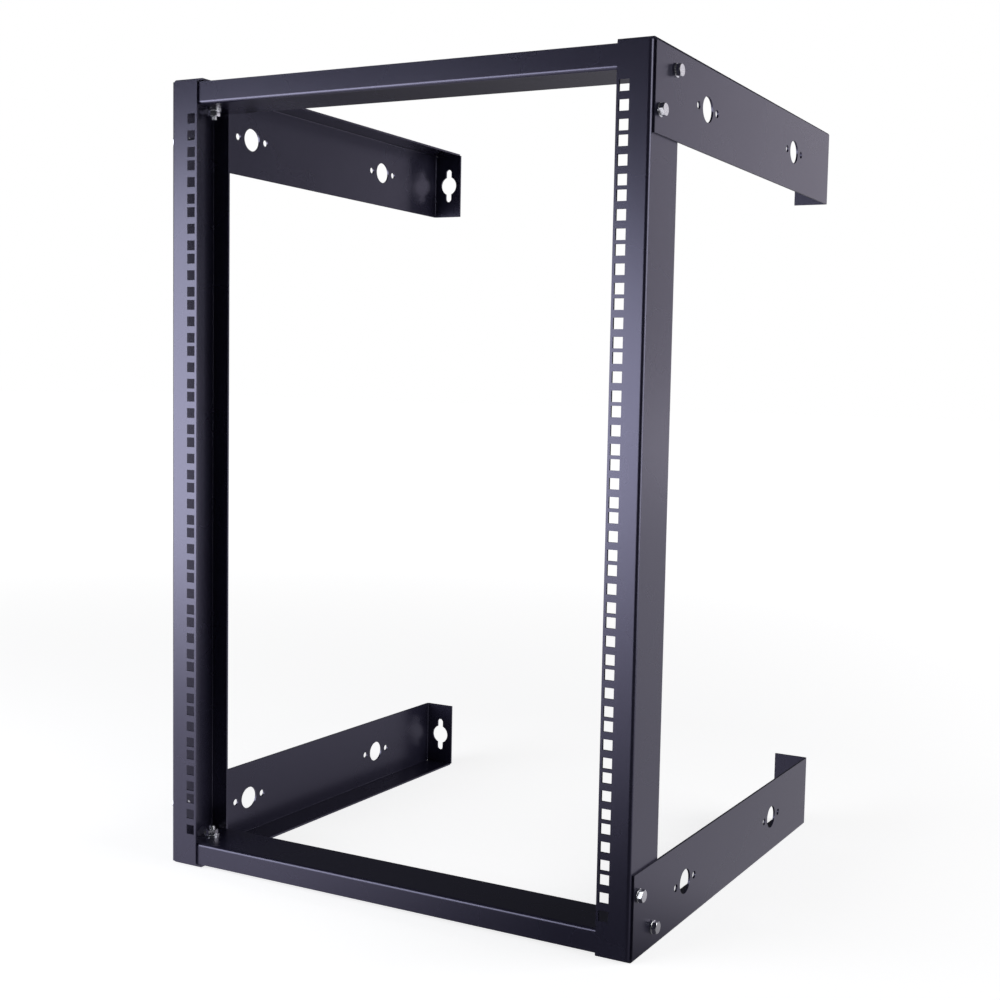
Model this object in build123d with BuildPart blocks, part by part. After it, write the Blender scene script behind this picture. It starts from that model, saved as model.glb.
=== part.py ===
from build123d import *
import os

# Open-frame wall rack for 19-inch equipment, 16 units high, in millimetres.
# The origin is on the floor line, at the middle of the width and of the depth.
# +X is to the right seen from the front, +Y runs back to the wall, +Z is up.

# Driving dimensions of the 19-inch standard
UNITS = 16
UNIT_HEIGHT = 44.45
HOLE_PITCH = 15.875
HOLE_SIDE = 9.5
HOLE_FROM_EDGE = 7.125
OPENING_WIDTH = 450.85

# Driving dimensions of the frame
FRAME_DEPTH = 451.0
SHEET = 2.0
BEND_RADIUS = 1.0
POST_FLANGE_WIDTH = 31.575
POST_WEB_DEPTH = 57.0
POST_LIP_WIDTH = 21.0

RAIL_FACE_HEIGHT = 21.0
RAIL_INSET = 1.0
RAIL_END_GAP = 17.0

ARM_HEIGHT = 77.0
ARM_SETBACK = 5.0
ARM_LIP_WIDTH = 36.0
WALL_FLANGE_WIDTH = 38.0

CLUSTER_SPACING = 225.0
CABLE_HOLE_DIAMETER = 23.0
PILOT_HOLE_DIAMETER = 7.0
PILOT_HOLE_OFFSET = 20.5

KEYHOLE_DIAMETER = 22.0
KEYHOLE_SLOT_WIDTH = 8.0
KEYHOLE_LENGTH = 40.0
KEYHOLE_BLEND_RADIUS = 8.0
KEYHOLE_FROM_EDGE = 17.0

BOLT_SPACING_DEPTH = 30.0
BOLT_SPACING_HEIGHT = 38.0
BOLT_DIAMETER = 6.0
BOLT_HOLE_DIAMETER = 6.6
BOLT_HEAD_WIDTH = 10.0
BOLT_HEAD_HEIGHT = 4.2
SHANK_SIDES = 12
WASHER_DIAMETER = 12.0
WASHER_THICKNESS = 1.6
NUT_HEIGHT = 5.0
BOLT_LENGTH = 20.0

# Dependent sizes
hole_column_x = OPENING_WIDTH / 2 + HOLE_FROM_EDGE
hole_span = UNITS * UNIT_HEIGHT - (UNIT_HEIGHT - 2 * HOLE_PITCH)
frame_height = hole_span + ARM_HEIGHT
lower_line = ARM_HEIGHT / 2
upper_line = lower_line + hole_span
front = -FRAME_DEPTH / 2
back = FRAME_DEPTH / 2
web_x = OPENING_WIDTH / 2 + POST_FLANGE_WIDTH
arm_x = web_x + SHEET
bend_outside = BEND_RADIUS + SHEET
post_length = frame_height - 2 * bend_outside
bolt_depths = [front + (POST_WEB_DEPTH - BOLT_SPACING_DEPTH) / 2,
               front + (POST_WEB_DEPTH + BOLT_SPACING_DEPTH) / 2]
cluster_depths = [-CLUSTER_SPACING / 2, CLUSTER_SPACING / 2]
keyhole_x = arm_x - WALL_FLANGE_WIDTH + KEYHOLE_FROM_EDGE

SIDES = {"left": -1, "right": 1}
LEVELS = {"lower": -1, "upper": 1}


def rack_hole_heights():
    """Heights of the square holes, three in each unit, from the bottom up."""
    first = [lower_line + i * HOLE_PITCH for i in range(3)]
    return [z + unit * UNIT_HEIGHT for unit in range(UNITS) for z in first]


def side_plane(side, x):
    """Plane on a side face at x: its X axis runs back, its Y axis up."""
    return Plane(origin=(side * x, 0, 0), x_dir=(0, 1, 0), z_dir=(1, 0, 0))


def bolt_spots(level):
    """Depth and height of a corner's front and rear bolt."""
    line = upper_line if level > 0 else lower_line
    rise = level * BOLT_SPACING_HEIGHT / 2
    return {"front": (bolt_depths[0], line - rise), "rear": (bolt_depths[1], line + rise)}


def keyhole_necks(points, centre_x, centre_z):
    """The four points where a keyhole's slots leave its round middle."""
    return [p for p in points
            if abs(abs(p.X - centre_x) - KEYHOLE_SLOT_WIDTH / 2) < 0.01
            and abs((p.X - centre_x) ** 2 + (p.Z - centre_z) ** 2 - (KEYHOLE_DIAMETER / 2) ** 2) < 0.01]


def export_piece(piece, name):
    """Label a finished piece and write it as its own STEP file."""
    piece.part.label = name
    export_step(piece.part, f"parts/{name}.step")
    print(name, round(piece.part.volume))


os.makedirs("parts", exist_ok=True)

# Posts: a channel with a wide front flange, a side web and a short rear lip,
# with three square holes to each unit
for side_name, side in SIDES.items():
    with BuildPart() as post:
        with BuildSketch(Plane.XY.offset(bend_outside)):
            with BuildLine():
                path = FilletPolyline(
                    (side * OPENING_WIDTH / 2, front),
                    (side * web_x, front),
                    (side * web_x, front + POST_WEB_DEPTH),
                    (side * (web_x - POST_LIP_WIDTH), front + POST_WEB_DEPTH),
                    radius=bend_outside,
                )
                offset(path, amount=SHEET, side=Side.LEFT if side > 0 else Side.RIGHT)
            make_face()
        extrude(amount=post_length)
        with BuildSketch(Plane.XZ.offset(-front)):
            with Locations(*[(side * hole_column_x, z) for z in rack_hole_heights()]):
                Rectangle(HOLE_SIDE, HOLE_SIDE)
        extrude(amount=-SHEET, mode=Mode.SUBTRACT)
        for level in LEVELS.values():
            with BuildSketch(side_plane(side, web_x)):
                with Locations(*bolt_spots(level).values()):
                    Circle(BOLT_HOLE_DIAMETER / 2)
            extrude(amount=-side * SHEET, mode=Mode.SUBTRACT)
    export_piece(post, f"post_{side_name}")

# Rails: a channel that is open outwards and runs on into both posts, where it fits
# between the front flange and the rear lip and is welded to them
rail_end_x = web_x - SHEET - RAIL_END_GAP
rail_front = front + SHEET
rail_back = front + POST_WEB_DEPTH - SHEET
for rail_name, level in {"bottom": -1, "top": 1}.items():
    outer_z = frame_height - bend_outside - RAIL_INSET if level > 0 else bend_outside + RAIL_INSET
    floor_z = outer_z - level * RAIL_FACE_HEIGHT
    with BuildPart() as rail:
        with BuildSketch(Plane.YZ.offset(-rail_end_x)):
            with BuildLine():
                path = FilletPolyline(
                    (rail_front, outer_z),
                    (rail_front, floor_z),
                    (rail_back, floor_z),
                    (rail_back, outer_z),
                    radius=bend_outside,
                )
                offset(path, amount=SHEET, side=Side.RIGHT if level < 0 else Side.LEFT)
            make_face()
        extrude(amount=2 * rail_end_x)
    export_piece(rail, f"rail_{rail_name}")

# Arms: an upright plate outside the post, with a lip over the post's end and
# a flange at the back that is screwed to the wall
for level_name, level in LEVELS.items():
    line = upper_line if level > 0 else lower_line
    edge_z = line + level * ARM_HEIGHT / 2
    inner_z = line - level * ARM_HEIGHT / 2
    for side_name, side in SIDES.items():
        outward = Align.MAX if side > 0 else Align.MIN
        with BuildPart() as arm:
            # Plate and lip
            with BuildSketch(Plane.XZ.offset(-(front + ARM_SETBACK))):
                with BuildLine():
                    path = FilletPolyline(
                        (side * (arm_x - ARM_LIP_WIDTH), edge_z),
                        (side * arm_x, edge_z),
                        (side * arm_x, inner_z),
                        radius=bend_outside,
                    )
                    offset(path, amount=SHEET, side=Side.RIGHT if side * level > 0 else Side.LEFT)
                make_face()
            extrude(amount=-(FRAME_DEPTH - ARM_SETBACK - bend_outside))
            # Wall flange, turned in from the plate
            with BuildSketch(Plane.XY.offset(inner_z)):
                with BuildLine():
                    turn = FilletPolyline(
                        (side * arm_x, back - 2 * bend_outside),
                        (side * arm_x, back),
                        (side * (arm_x - WALL_FLANGE_WIDTH), back),
                        radius=bend_outside,
                    )
                    offset(turn, amount=SHEET, side=Side.LEFT if side > 0 else Side.RIGHT)
                make_face()
            extrude(amount=level * (ARM_HEIGHT - SHEET))
            # Above the flange the lip runs on to the wall
            with BuildSketch(Plane.XY.offset(edge_z)):
                with Locations((side * (arm_x - bend_outside), back)):
                    Rectangle(ARM_LIP_WIDTH - bend_outside, bend_outside, align=(outward, Align.MAX))
            extrude(amount=-level * SHEET)
            # Wall keyhole
            with BuildSketch(Plane.XZ.offset(-back)) as keyhole:
                with Locations((side * keyhole_x, line)):
                    Circle(KEYHOLE_DIAMETER / 2)
                    SlotOverall(KEYHOLE_LENGTH, KEYHOLE_SLOT_WIDTH, rotation=90)
                fillet(keyhole_necks(keyhole.vertices(), side * keyhole_x, line), KEYHOLE_BLEND_RADIUS)
            extrude(amount=SHEET, mode=Mode.SUBTRACT)
            # Cable holes with their pilot holes, and bolt holes
            with BuildSketch(side_plane(side, arm_x)):
                with Locations(*[(y, line) for y in cluster_depths]):
                    Circle(CABLE_HOLE_DIAMETER / 2)
                    with Locations((-PILOT_HOLE_OFFSET, 0), (PILOT_HOLE_OFFSET, 0)):
                        Circle(PILOT_HOLE_DIAMETER / 2)
                with Locations(*bolt_spots(level).values()):
                    Circle(BOLT_HOLE_DIAMETER / 2)
            extrude(amount=-side * SHEET, mode=Mode.SUBTRACT)
        export_piece(arm, f"arm_{level_name}_{side_name}")

# Bolts from outside through arm and post, and their nuts inside the post
for level_name, level in LEVELS.items():
    for side_name, side in SIDES.items():
        for place, spot in bolt_spots(level).items():
            with BuildPart() as bolt:
                with BuildSketch(side_plane(side, arm_x)):
                    with Locations(spot):
                        Circle(WASHER_DIAMETER / 2)
                extrude(amount=side * WASHER_THICKNESS)
                with BuildSketch(side_plane(side, arm_x + WASHER_THICKNESS)):
                    with Locations(spot):
                        RegularPolygon(BOLT_HEAD_WIDTH / 2, 6, major_radius=False)
                extrude(amount=side * BOLT_HEAD_HEIGHT)
                with BuildSketch(side_plane(side, arm_x)):
                    with Locations(spot):
                        RegularPolygon(BOLT_DIAMETER / 2, SHANK_SIDES)
                extrude(amount=-side * BOLT_LENGTH)
            export_piece(bolt, f"bolt_{level_name}_{side_name}_{place}")
            with BuildPart() as nut:
                with BuildSketch(side_plane(side, web_x - SHEET)):
                    with Locations(spot):
                        RegularPolygon(BOLT_HEAD_WIDTH / 2, 6, major_radius=False)
                        RegularPolygon(BOLT_DIAMETER / 2, SHANK_SIDES, mode=Mode.SUBTRACT)
                extrude(amount=-side * NUT_HEIGHT)
            export_piece(nut, f"nut_{level_name}_{side_name}_{place}")
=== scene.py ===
import bpy
import math
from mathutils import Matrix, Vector


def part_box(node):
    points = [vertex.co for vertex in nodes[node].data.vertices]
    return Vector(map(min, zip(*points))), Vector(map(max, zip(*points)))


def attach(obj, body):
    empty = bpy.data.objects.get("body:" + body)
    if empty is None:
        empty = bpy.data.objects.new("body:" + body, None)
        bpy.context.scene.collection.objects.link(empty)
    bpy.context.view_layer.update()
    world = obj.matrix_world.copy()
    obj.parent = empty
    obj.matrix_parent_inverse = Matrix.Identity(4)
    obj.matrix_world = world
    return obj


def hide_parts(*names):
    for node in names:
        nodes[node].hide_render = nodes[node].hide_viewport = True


# Looks of an open wall rack for 19-inch equipment, in metres, in the frame of its CAD part.
# +X is to the right seen from the front, +Y runs back to the wall, +Z is up.

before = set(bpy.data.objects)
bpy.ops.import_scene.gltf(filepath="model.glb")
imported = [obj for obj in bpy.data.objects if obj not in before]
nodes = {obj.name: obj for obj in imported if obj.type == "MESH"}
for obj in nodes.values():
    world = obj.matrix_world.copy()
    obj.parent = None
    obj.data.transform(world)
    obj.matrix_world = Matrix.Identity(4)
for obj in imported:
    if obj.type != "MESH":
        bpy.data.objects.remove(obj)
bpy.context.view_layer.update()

# Sizes of the fasteners
HEAD_WIDTH = 0.010
WASHER_RADIUS = 0.006
WASHER_THICKNESS = 0.0016
WASHER_CHAMFER = 0.00025
CORNER_CHAMFER = 0.00075
SHANK_RADIUS = 0.003
THREAD_DEPTH = 0.00045
THREAD_PITCH = 0.001
THREAD_INSIDE_NUT = 0.0004
THREAD_END_SCALE = 0.8
DISC_SIDES = 48
SHANK_SIDES = 32
SMOOTH_ANGLE = math.radians(35)

# How far each corner's bolt is turned, in radians, from the lower left front to the upper right rear
BOLT_TWISTS = (0.05, 0.31, -0.06, 0.08, 0.42, -0.27, 0.04, -0.05)
NUT_TWIST_FACTOR = -2

# Upright bolts through the floors of the rails
SHEET = 0.002
RAIL_BOLT_LENGTH = 0.0125
RAIL_BOLT_FROM_END = 0.0075
RAIL_BOLT_TWIST = math.radians(10)
RAIL_WASHER_RADIUS = 0.007

# Sizes taken from the frame, at the upper right corner
bolt_low, bolt_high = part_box("bolt_upper_right_front")
nut_low, nut_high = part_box("nut_upper_right_front")
arm_face_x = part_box("arm_upper_right")[1].x
post_inside_x = nut_high.x
bolt_length = arm_face_x - bolt_low.x
head_height = bolt_high.x - arm_face_x - WASHER_THICKNESS
nut_height = nut_high.x - nut_low.x

# Room and floor: what the camera sees, and a painted reflection, the floor's uneven glow and darker paint
# that only the coat's reflections show
ROOM_LEVEL = 0.045
FLOOR_SIZE = 60
FLOOR_DROP = 0.0002
FLOOR_GLOW = 0.77
NEAR_FLOOR = 0.6
FAR_FLOOR = 3.0
FLOOR_PAINT = 0.6
# Painted reflection: the floor's paint and glow as glossy rays see them, not as the camera sees them
PAINTED_SHADE_IN_REFLECTIONS = 0.1
PAINTED_REFLECTION_DARK = 0.01
PAINTED_REFLECTION_FRONT = 1.15
PAINTED_REFLECTION_BEHIND = 0.42
PAINTED_REFLECTION_RIGHT = 0.75
WHITE = (1, 1, 1)
COOL_WHITE = (0.93, 0.95, 1.0)
VIOLET_WHITE = (0.97, 0.915, 1.0)

# Camera, fitted to the rows of holes in the photograph: pixels, millimetres, metres and degrees
PICTURE_WIDTH = 1000
FOCAL_PIXELS = 1389.67
PRINCIPAL_POINT_X = 650.1
SENSOR_WIDTH = 36
CAMERA_PLACE = (0.7570, -1.2594, 0.4887)
CAMERA_ANGLES = (85.490, -1.5641, 25.512)


# Picking and placing
def pick_nothing():
    """Leave object mode with nothing selected."""
    if bpy.context.object and bpy.context.object.mode != "OBJECT":
        bpy.ops.object.mode_set(mode="OBJECT")
    bpy.ops.object.select_all(action="DESELECT")


def work_on(piece):
    """Make a piece the only selected and active one."""
    pick_nothing()
    piece.select_set(True)
    bpy.context.view_layer.objects.active = piece


def edit_picked(piece, kind, wanted):
    """Enter edit mode on a piece with only the wanted edges or faces picked."""
    work_on(piece)
    bpy.ops.object.mode_set(mode="EDIT")
    bpy.ops.mesh.select_mode(type=kind)
    bpy.ops.mesh.select_all(action="DESELECT")
    bpy.ops.object.mode_set(mode="OBJECT")
    for item in piece.data.edges if kind == "EDGE" else piece.data.polygons:
        item.select = wanted(item)
    bpy.ops.object.mode_set(mode="EDIT")


def set_in_place(piece):
    """Put a piece's place into its mesh, with its object at the origin."""
    work_on(piece)
    bpy.ops.object.transform_apply(location=True, rotation=True, scale=True)


def copy_of(piece, name):
    """A copy with its own mesh."""
    work_on(piece)
    bpy.ops.object.duplicate(linked=False)
    made = bpy.context.object
    made.name = name
    made.data.name = name
    return made


# Nodes of the materials
def new_material(name, colour, metallic, roughness):
    """A node material with its constant numbers on the shader's own sockets."""
    made = bpy.data.materials.new(name)
    made.use_nodes = True
    shader = made.node_tree.nodes["Principled BSDF"]
    shader.inputs["Base Color"].default_value = (*colour, 1)
    shader.inputs["Metallic"].default_value = metallic
    shader.inputs["Roughness"].default_value = roughness
    return made, made.node_tree, shader


def noise(tree, scale, detail):
    """A cloudy pattern that is fixed to the object."""
    place = tree.nodes.new("ShaderNodeTexCoord")
    made = tree.nodes.new("ShaderNodeTexNoise")
    made.inputs["Scale"].default_value = scale
    made.inputs["Detail"].default_value = detail
    tree.links.new(place.outputs["Object"], made.inputs["Vector"])
    return made.outputs["Fac"]


def ranged(tree, value, start, end, low, high, interpolation="LINEAR"):
    """A value that runs from start to end, carried over to run from low to high."""
    made = tree.nodes.new("ShaderNodeMapRange")
    made.interpolation_type = interpolation
    made.inputs["From Min"].default_value = start
    made.inputs["From Max"].default_value = end
    made.inputs["To Min"].default_value = low
    made.inputs["To Max"].default_value = high
    tree.links.new(value, made.inputs["Value"])
    return made.outputs["Result"]


def maths(tree, operation, first, second):
    """The result of a sum on the results of two other nodes."""
    made = tree.nodes.new("ShaderNodeMath")
    made.operation = operation
    tree.links.new(first, made.inputs[0])
    tree.links.new(second, made.inputs[1])
    return made.outputs[0]


def black_powder_coat():
    """Satin black powder coat with a faint violet tint and a fine orange-peel skin."""
    made, tree, shader = new_material("black_powder_coat", (0.0135, 0.0125, 0.026), 0.0, 0.3)
    shader.inputs["IOR"].default_value = 1.8
    shader.inputs["Specular Tint"].default_value = (0.74, 0.72, 1, 1)
    skin = tree.nodes.new("ShaderNodeBump")
    skin.inputs["Strength"].default_value = 0.12
    skin.inputs["Distance"].default_value = 0.0002
    tree.links.new(noise(tree, scale=900, detail=2), skin.inputs["Height"])
    tree.links.new(skin.outputs["Normal"], shader.inputs["Normal"])
    gloss = ranged(tree, noise(tree, scale=9, detail=3), start=0, end=1, low=0.25, high=0.3)
    tree.links.new(gloss, shader.inputs["Roughness"])
    return made


def bright_zinc():
    """Bright zinc plating, a little uneven in gloss."""
    made, tree, shader = new_material("bright_zinc", (0.76, 0.77, 0.79), 1.0, 0.2)
    gloss = ranged(tree, noise(tree, scale=700, detail=3), start=0, end=1, low=0.18, high=0.3)
    tree.links.new(gloss, shader.inputs["Roughness"])
    return made


# Fasteners, modelled once along +Z with their seat at zero
def cylinder(sides, radius, low, high):
    """An upright cylinder or prism between two heights."""
    pick_nothing()
    bpy.ops.mesh.primitive_cylinder_add(vertices=sides, radius=radius, depth=high - low,
                                        location=(0, 0, (low + high) / 2))
    made = bpy.context.object
    set_in_place(made)
    return made


def cut(piece, operation, tool):
    """Cut a piece with another one, which is used up."""
    change = piece.modifiers.new("cut", "BOOLEAN")
    change.operation = operation
    change.solver = "EXACT"
    change.object = tool
    work_on(piece)
    bpy.ops.object.modifier_apply(modifier=change.name)
    bpy.data.objects.remove(tool)


def chamfered_disc(radius, low, high, chamfer, both_ends=False):
    """A round disc with its upper rim chamfered, and its lower rim too if both_ends."""
    hair = 0.00001
    disc = cylinder(DISC_SIDES, radius, low, high)

    def on_a_rim(edge):
        ends = [disc.data.vertices[i].co.z for i in edge.vertices]
        upper = all(z > high - hair for z in ends)
        lower = all(z < low + hair for z in ends)
        return upper or (both_ends and lower)

    edit_picked(disc, "EDGE", on_a_rim)
    bpy.ops.mesh.bevel(offset=chamfer, offset_type="OFFSET", segments=1)
    bpy.ops.object.mode_set(mode="OBJECT")
    return disc


def hexagon(width, low, high, both_ends=False):
    """A hexagon with the round chamfer that a turned bar leaves on its corners."""
    corner_radius = width / math.sqrt(3)
    overshoot = 0 if both_ends else 0.001
    made = cylinder(6, corner_radius, low, high)
    turned_bar = chamfered_disc(corner_radius, low - overshoot, high, CORNER_CHAMFER, both_ends)
    cut(made, "INTERSECT", turned_bar)
    return made


def joined(pieces):
    """Several meshes as one."""
    pick_nothing()
    for piece in pieces:
        piece.select_set(True)
    bpy.context.view_layer.objects.active = pieces[0]
    bpy.ops.object.join()
    return bpy.context.object


def threaded_shank(length, grip):
    """A round shank down from zero, with a thread on the part past the grip and the nut."""
    thread_start = -grip - nut_height + THREAD_INSIDE_NUT
    turns = int((thread_start + length) / THREAD_PITCH)
    end_length = thread_start + length - turns * THREAD_PITCH
    shrink = (SHANK_RADIUS - THREAD_DEPTH) / SHANK_RADIUS
    shank = cylinder(SHANK_SIDES, SHANK_RADIUS, thread_start, 0)
    facing_down = -0.9
    edit_picked(shank, "FACE", lambda face: face.normal.z < facing_down)
    steps = [(THREAD_PITCH / 2, shrink), (THREAD_PITCH / 2, 1 / shrink)] * turns
    for step, scale in [*steps, (end_length, THREAD_END_SCALE)]:
        bpy.ops.mesh.extrude_region_move(TRANSFORM_OT_translate={"value": (0, 0, -step)})
        bpy.ops.transform.resize(value=(scale, scale, 1))
    bpy.ops.object.mode_set(mode="OBJECT")
    return shank


def hex_bolt(length, grip):
    """Bolt with a hexagon head on a washer, its seat at zero."""
    washer = chamfered_disc(WASHER_RADIUS, 0, WASHER_THICKNESS, WASHER_CHAMFER)
    head = hexagon(HEAD_WIDTH, WASHER_THICKNESS, WASHER_THICKNESS + head_height)
    return joined([head, washer, threaded_shank(length, grip)])


def hex_nut():
    """Nut with chamfered corners and a bore, its seat at zero."""
    nut = hexagon(HEAD_WIDTH, 0, nut_height, both_ends=True)
    drill = cylinder(SHANK_SIDES, SHANK_RADIUS, -2 * nut_height, 2 * nut_height)
    cut(nut, "DIFFERENCE", drill)
    return nut


def nut_on_wide_washer():
    """Nut on a washer that is wider than a bolt head's, the washer's seat at zero."""
    nut = hex_nut()
    nut.location.z = WASHER_THICKNESS
    set_in_place(nut)
    washer = chamfered_disc(RAIL_WASHER_RADIUS, 0, WASHER_THICKNESS, WASHER_CHAMFER)
    return joined([nut, washer])


# Copies of the fasteners in their places
def finished(piece):
    """Smooth a new fastener, plate it and let it ride with the rack."""
    work_on(piece)
    bpy.ops.object.shade_smooth_by_angle(angle=SMOOTH_ANGLE)
    piece.data.materials.clear()
    piece.data.materials.append(zinc)
    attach(piece, "root")


def sideways(master, name, node, seat_x, outwards, twist):
    """A copy of a fastener on its seat, in the place of its plain CAD node."""
    low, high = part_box(node)
    seat = (seat_x, (low.y + high.y) / 2, (low.z + high.z) / 2)
    piece = copy_of(master, name)
    piece.rotation_euler = (0, outwards * math.pi / 2, 0)
    piece.location = seat
    set_in_place(piece)
    bpy.ops.object.mode_set(mode="EDIT")
    bpy.ops.mesh.select_all(action="SELECT")
    bpy.ops.transform.rotate(value=twist, orient_axis="X", center_override=seat)
    bpy.ops.object.mode_set(mode="OBJECT")
    finished(piece)
    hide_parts(node)


def upright(master, name, seat, up):
    """A copy of a fastener with its axis upright, pointing up or down."""
    piece = copy_of(master, name)
    piece.rotation_euler = (0 if up > 0 else math.pi, 0, RAIL_BOLT_TWIST)
    piece.location = seat
    set_in_place(piece)
    finished(piece)


def corner_fasteners():
    """Two bolts with their nuts at each corner, through arm and post."""
    bolt = hex_bolt(bolt_length, arm_face_x - post_inside_x)
    nut = hex_nut()
    twists = iter(BOLT_TWISTS)
    for level in ("lower", "upper"):
        for side_name, side in (("left", -1), ("right", 1)):
            for spot in ("front", "rear"):
                place = f"{level}_{side_name}_{spot}"
                twist = next(twists)
                sideways(bolt, f"hex_bolt_{place}", f"bolt_{place}", side * arm_face_x, side, twist)
                sideways(nut, f"hex_nut_{place}", f"nut_{place}", side * post_inside_x, -side,
                         NUT_TWIST_FACTOR * twist)
    for master in (bolt, nut):
        bpy.data.objects.remove(master)


def rail_fasteners():
    """Short upright bolts through the rails' floors, near their ends."""
    bolt = hex_bolt(RAIL_BOLT_LENGTH, SHEET + WASHER_THICKNESS)
    nut = nut_on_wide_washer()
    for level, up in (("bottom", 1), ("top", -1)):
        low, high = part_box(f"rail_{level}")
        floor_z = high.z if up > 0 else low.z
        middle_y = (low.y + high.y) / 2
        for side_name, x in (("left", low.x + RAIL_BOLT_FROM_END), ("right", high.x - RAIL_BOLT_FROM_END)):
            upright(nut, f"rail_nut_{level}_{side_name}", (x, middle_y, floor_z), up)
            upright(bolt, f"rail_bolt_{level}_{side_name}", (x, middle_y, floor_z - up * SHEET), -up)
    for master in (bolt, nut):
        bpy.data.objects.remove(master)


# Studio
def painted_reflection_glow(tree, place):
    """How strongly the floor glows in glossy rays, a painted reflection on the coat: light at the front
    left and behind, dark elsewhere.
    """
    axes = tree.nodes.new("ShaderNodeSeparateXYZ")
    tree.links.new(place, axes.inputs[0])
    x, y, _ = axes.outputs
    smooth = "SMOOTHSTEP"
    front = ranged(tree, x, start=-0.22, end=0.2, low=PAINTED_REFLECTION_FRONT, high=PAINTED_REFLECTION_DARK,
                   interpolation=smooth)
    behind_left = ranged(tree, x, start=-2.0, end=-0.8, low=PAINTED_REFLECTION_DARK, high=PAINTED_REFLECTION_BEHIND,
                         interpolation=smooth)
    behind_right = ranged(tree, x, start=-0.25, end=0.3, low=0, high=PAINTED_REFLECTION_RIGHT - PAINTED_REFLECTION_BEHIND,
                          interpolation=smooth)
    backwards = ranged(tree, y, start=-0.28, end=0.02, low=0, high=1, interpolation=smooth)
    share = tree.nodes.new("ShaderNodeMix")
    tree.links.new(backwards, share.inputs[0])
    tree.links.new(front, share.inputs[2])
    tree.links.new(maths(tree, "ADD", behind_left, behind_right), share.inputs[3])
    return share.outputs[0]


def pale_floor():
    """Floor that is near white for the camera, with a painted reflection: in glossy rays it glows
    unevenly.
    """
    made, tree, shader = new_material("pale_floor", (FLOOR_PAINT, FLOOR_PAINT, FLOOR_PAINT), 0.0, 0.95)
    shader.inputs["Specular IOR Level"].default_value = 0.0
    place = tree.nodes.new("ShaderNodeTexCoord").outputs["Object"]
    rays = tree.nodes.new("ShaderNodeLightPath").outputs

    # Painted reflection: in glossy rays the paint is darker and the glow a little violet
    paint = ranged(tree, rays["Is Glossy Ray"], start=0, end=1, low=FLOOR_PAINT, high=PAINTED_SHADE_IN_REFLECTIONS)
    tree.links.new(paint, shader.inputs["Base Color"])
    tint = tree.nodes.new("ShaderNodeMix")
    tint.data_type = "RGBA"
    tint.inputs[6].default_value = (1, 1, 1, 1)
    tint.inputs[7].default_value = (0.96, 0.93, 1, 1)
    tree.links.new(rays["Is Glossy Ray"], tint.inputs[0])
    tree.links.new(tint.outputs[2], shader.inputs["Emission Color"])

    # The glow rises with the distance from the rack, and diffuse rays see none of it
    away = tree.nodes.new("ShaderNodeVectorMath")
    away.operation = "LENGTH"
    tree.links.new(place, away.inputs[0])
    glow = ranged(tree, away.outputs["Value"], start=NEAR_FLOOR, end=FAR_FLOOR, low=FLOOR_GLOW, high=1)
    # Painted reflection: glossy rays see an uneven glow, set from place to place
    painted_reflection = maths(tree, "MULTIPLY", rays["Is Glossy Ray"], painted_reflection_glow(tree, place))
    seen = maths(tree, "MAXIMUM", rays["Is Camera Ray"], painted_reflection)
    seen = maths(tree, "MAXIMUM", seen, rays["Is Transmission Ray"])
    tree.links.new(maths(tree, "MULTIPLY", seen, glow), shader.inputs["Emission Strength"])
    return made


def lay_floor():
    """A wide floor just under the rack."""
    pick_nothing()
    bpy.ops.mesh.primitive_plane_add(size=FLOOR_SIZE, location=(0, 0, -FLOOR_DROP))
    floor = bpy.context.object
    floor.name = "studio_floor"
    floor.data.materials.append(pale_floor())
    set_in_place(floor)


def surroundings():
    """White for the camera, a dim room for every other ray."""
    world = bpy.data.worlds.new("studio")
    bpy.context.scene.world = world
    world.use_nodes = True
    parts, links = world.node_tree.nodes, world.node_tree.links
    dim = parts["Background"]
    dim.inputs["Color"].default_value = (*COOL_WHITE, 1)
    dim.inputs["Strength"].default_value = ROOM_LEVEL
    white = parts.new("ShaderNodeBackground")
    white.inputs["Color"].default_value = (*WHITE, 1)
    white.inputs["Strength"].default_value = 1.0
    rays = parts.new("ShaderNodeLightPath")
    choose = parts.new("ShaderNodeMixShader")
    links.new(rays.outputs["Is Camera Ray"], choose.inputs["Fac"])
    links.new(dim.outputs[0], choose.inputs[1])
    links.new(white.outputs[0], choose.inputs[2])
    links.new(choose.outputs[0], parts["World Output"].inputs["Surface"])


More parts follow.
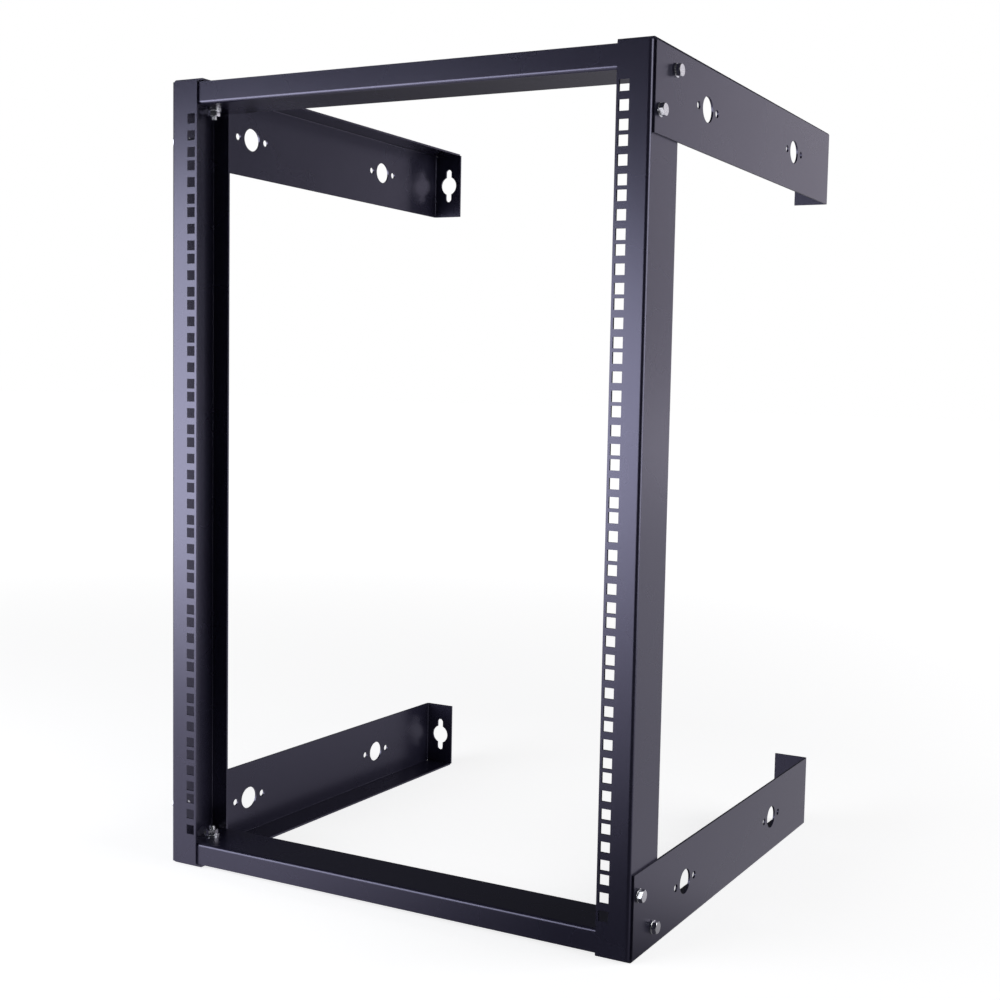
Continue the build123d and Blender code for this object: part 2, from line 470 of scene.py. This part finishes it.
def soft_light(name, place, target, size, radiance, colour, shape="RECTANGLE"):
    """A flat soft light of an even radiance, turned towards a point."""
    width, height = size
    fill = math.pi / 4 if shape == "ELLIPSE" else 1
    bpy.ops.object.light_add(type="AREA", location=place)
    lamp = bpy.context.object
    lamp.name = name
    lamp.data.shape = shape
    lamp.data.size = width
    lamp.data.size_y = height
    lamp.data.energy = radiance * math.pi * width * height * fill
    lamp.data.color = colour
    lamp.visible_camera = False
    lamp.rotation_euler = (Vector(target) - Vector(place)).to_track_quat("-Z", "Y").to_euler()


def set_lights():
    """Two softboxes, one in the other, at the front left, and cards behind, right and left."""
    soft_light("softbox_front_left", place=(-0.75, -1.10, 0.445), target=(0, -0.2, 0.445),
               size=(1.7, 0.92), radiance=1.9, colour=COOL_WHITE, shape="ELLIPSE")
    soft_light("softbox_core", place=(-0.76, -1.11, 0.48), target=(0, -0.2, 0.48),
               size=(1.3, 0.72), radiance=2.4, colour=COOL_WHITE, shape="ELLIPSE")
    soft_light("card_behind", place=(1.2, 5.5, 1.3), target=(1.0, 0, 0.8),
               size=(4.4, 2.6), radiance=0.9, colour=VIOLET_WHITE)
    soft_light("card_right", place=(2.6, 0.55, 0.8), target=(0, 0, 0.4),
               size=(2.4, 2.2), radiance=3.2, colour=WHITE)
    soft_light("card_left", place=(-2.3, -1.7, 0.9), target=(0, 0, 0.5),
               size=(1.4, 1.8), radiance=0.12, colour=COOL_WHITE)


def set_camera():
    """The photograph's camera, shifted to the side because the photograph is a crop."""
    bpy.ops.object.camera_add(location=CAMERA_PLACE)
    camera = bpy.context.object
    camera.rotation_euler = [math.radians(angle) for angle in CAMERA_ANGLES]
    camera.data.sensor_width = SENSOR_WIDTH
    camera.data.sensor_fit = "HORIZONTAL"
    camera.data.lens = FOCAL_PIXELS / PICTURE_WIDTH * SENSOR_WIDTH
    camera.data.shift_x = (PICTURE_WIDTH / 2 - PRINCIPAL_POINT_X) / PICTURE_WIDTH
    camera.data.shift_y = 0
    bpy.context.scene.camera = camera


coat = black_powder_coat()
zinc = bright_zinc()
for name, node in nodes.items():
    node.data.materials.clear()
    node.data.materials.append(zinc if name.startswith(("bolt", "nut")) else coat)

corner_fasteners()
rail_fasteners()
lay_floor()
surroundings()
set_lights()
set_camera()
bpy.context.scene.view_settings.view_transform = "Standard"
